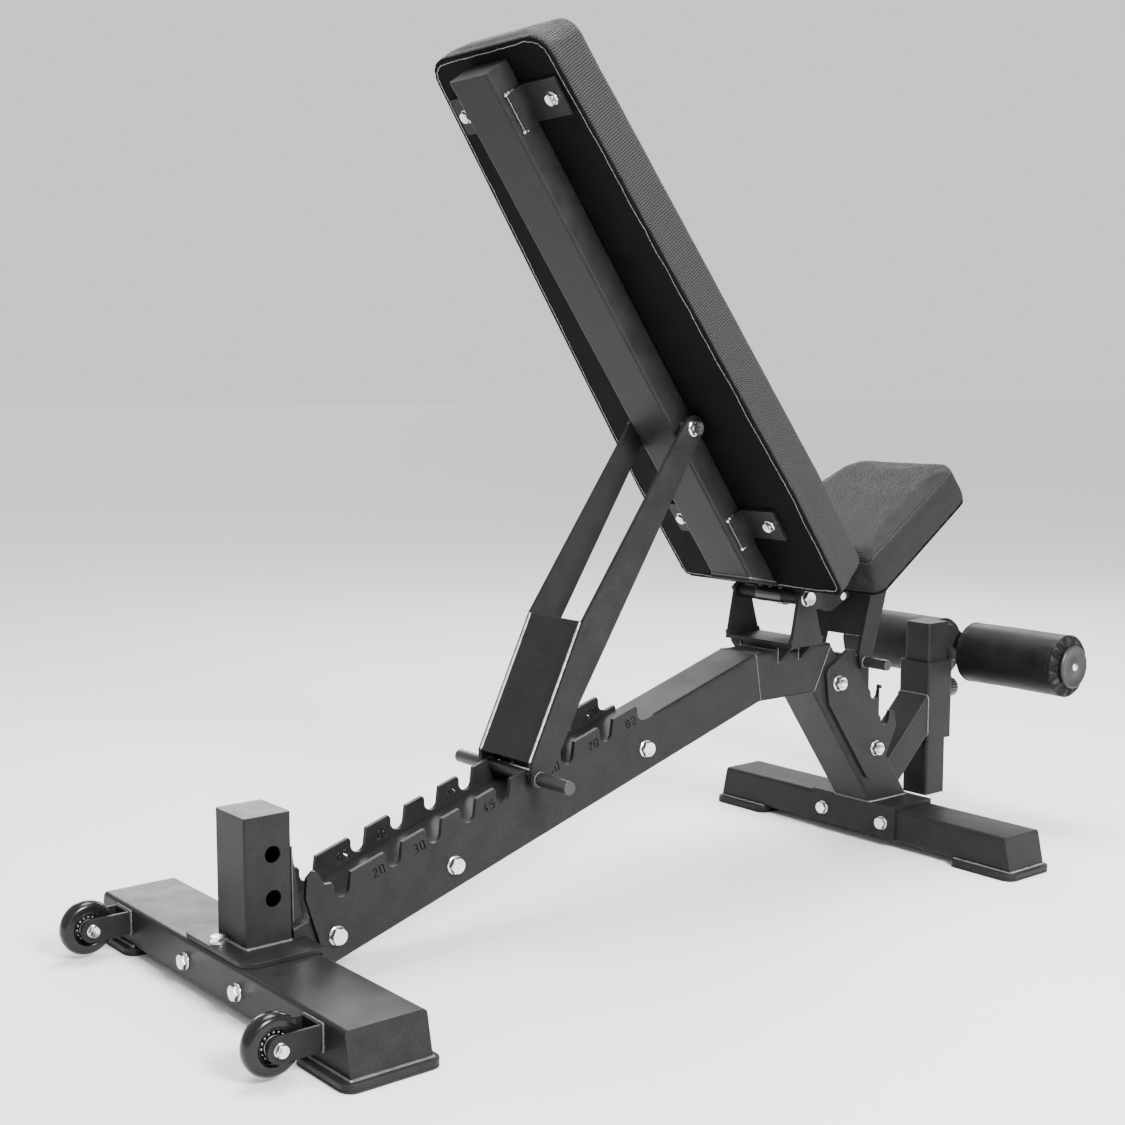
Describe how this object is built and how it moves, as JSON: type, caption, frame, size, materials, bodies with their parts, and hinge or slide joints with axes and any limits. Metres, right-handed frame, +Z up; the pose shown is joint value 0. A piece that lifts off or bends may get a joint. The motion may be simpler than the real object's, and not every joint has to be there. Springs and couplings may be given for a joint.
{
  "type": "adjustable weight bench",
  "caption": "Adjustable weight bench: notched ladder frame, hinged backrest on a swinging prop, tilting seat, leg rollers on a sliding post, transport wheels.",
  "frame": {"origin": "on the floor, at the middle of the bounding box's bottom face", "axes": "+X from the ladder end to the leg rollers, +Y to the user's left when seated facing +X, +Z up"},
  "size_m": [1.488, 0.624, 1.1457],
  "materials": {
    "powder_coat": "satin textured powder coat, charcoal",
    "gloss_paint": "glossy dark enamel",
    "zinc_plate": "bright zinc plate",
    "ground_steel": "dark plated bar",
    "bush_metal": "plain bearing bush",
    "sole_rubber": "ribbed black rubber",
    "liner_plastic": "black nylon",
    "knob_plastic": "black moulded plastic",
    "hub_steel": "dark plated ball race",
    "tyre_rubber": "glossy hard rubber",
    "board_coat": "matte black coated board",
    "back_vinyl": "ribbed black vinyl",
    "seat_vinyl": "woven-pattern black vinyl",
    "roller_vinyl": "soft matte black vinyl",
    "roller_foam": "plastic core tube",
    "cap_plastic": "grey moulded disc"
  },
  "bodies": {
    "frame": {"rear_crossbar": "powder_coat", "front_crossbar": "powder_coat", "foot_plates": "powder_coat", "foot_soles": "sole_rubber", "rear_bracket": "powder_coat", "crossbar_bolts": "zinc_plate", "rear_post": "powder_coat", "post_gussets": "powder_coat", "spine_tube": "powder_coat", "hump_tube": "powder_coat", "front_leg": "powder_coat", "ladder_plate_left": "powder_coat", "ladder_plate_right": "powder_coat", "ladder_bolts": "zinc_plate", "hinge_yoke": "powder_coat", "yoke_supports": "powder_coat", "pivot_sleeve": "ground_steel", "hinge_bolt": "zinc_plate", "notch_plates": "powder_coat", "notch_bolts": "zinc_plate", "leg_saddle": "powder_coat", "arm_tube": "powder_coat", "post_sleeve": "powder_coat", "sleeve_liners": "liner_plastic", "wheel_brackets": "powder_coat", "wheel_bolts": "zinc_plate"},
    "backrest": {"back_barrel": "gloss_paint", "hinge_bushes": "bush_metal", "base_plate": "powder_coat", "back_tube": "powder_coat", "back_tabs": "powder_coat", "back_tab_bolts": "zinc_plate", "back_board": "board_coat", "back_pad": "back_vinyl", "prop_bolt": "zinc_plate"},
    "prop": {"prop_arms": "powder_coat", "prop_web": "powder_coat", "prop_rod": "ground_steel"},
    "seat": {"seat_hinge": "powder_coat", "seat_pin": "zinc_plate", "seat_tube": "powder_coat", "seat_tabs": "powder_coat", "seat_tab_bolts": "zinc_plate", "seat_board": "board_coat", "seat_pad": "seat_vinyl", "lever_bolt": "zinc_plate"},
    "seat_lever_body": {"seat_lever": "powder_coat", "seat_rod": "ground_steel"},
    "roller_carriage": {"roller_post": "powder_coat", "roller_axle": "zinc_plate", "roller_caps": "cap_plastic"},
    "left_roller": {"roller_foam_left": "roller_vinyl", "roller_core_left": "roller_foam"},
    "right_roller": {"roller_foam_right": "roller_vinyl", "roller_core_right": "roller_foam"},
    "left_wheel": {"wheel_hub_left": "hub_steel", "wheel_tyre_left": "tyre_rubber"},
    "right_wheel": {"wheel_hub_right": "hub_steel", "wheel_tyre_right": "tyre_rubber"},
    "clamp_screw": {"clamp_knob": "knob_plastic"}
  },
  "joints": [
    {"name": "backrest_raise", "type": "hinge", "parent": "frame", "child": "backrest", "pos_m": [0.255, 0, 0.4], "axis": [0, 1, 0], "range_deg": [0, 18.7]},
    {"name": "prop_swing", "type": "hinge", "parent": "backrest", "child": "prop", "pos_m": [0.03906, 0, 0.64763], "axis": [0, 1, 0], "range_deg": [-7.9, 0]},
    {"name": "seat_lift", "type": "hinge", "parent": "frame", "child": "seat", "pos_m": [0.255, 0, 0.4], "axis": [0, 1, 0], "range_deg": [-5, 0]},
    {"name": "lever_swing", "type": "hinge", "parent": "seat", "child": "seat_lever_body", "pos_m": [0.45052, 0, 0.45308], "axis": [0, 1, 0], "range_deg": [0, 3.3]},
    {"name": "roller_height", "type": "slide", "parent": "frame", "child": "roller_carriage", "axis": [0, 0, 1], "range_m": [-0.01, 0.09]},
    {"name": "left_roller_spin", "type": "hinge", "parent": "roller_carriage", "child": "left_roller", "pos_m": [0.695, 0.119, 0.272], "axis": [0, 1, 0], "continuous": true},
    {"name": "right_roller_spin", "type": "hinge", "parent": "roller_carriage", "child": "right_roller", "pos_m": [0.695, -0.119, 0.272], "axis": [0, 1, 0], "continuous": true},
    {"name": "left_wheel_spin", "type": "hinge", "parent": "frame", "child": "left_wheel", "pos_m": [-0.71, 0.232, 0.04], "axis": [0, 1, 0], "continuous": true},
    {"name": "right_wheel_spin", "type": "hinge", "parent": "frame", "child": "right_wheel", "pos_m": [-0.71, -0.232, 0.04], "axis": [0, 1, 0], "continuous": true},
    {"name": "clamp_turn", "type": "hinge", "parent": "frame", "child": "clamp_screw", "pos_m": [0.66, 0, 0.213], "axis": [1, 0, 0], "range_deg": [-180, 180]}
  ],
  "couplings": [
    {"joint": "prop_swing", "follows": "backrest_raise", "ratio": -0.42},
    {"joint": "lever_swing", "follows": "seat_lift", "ratio": -0.65}
  ]
}
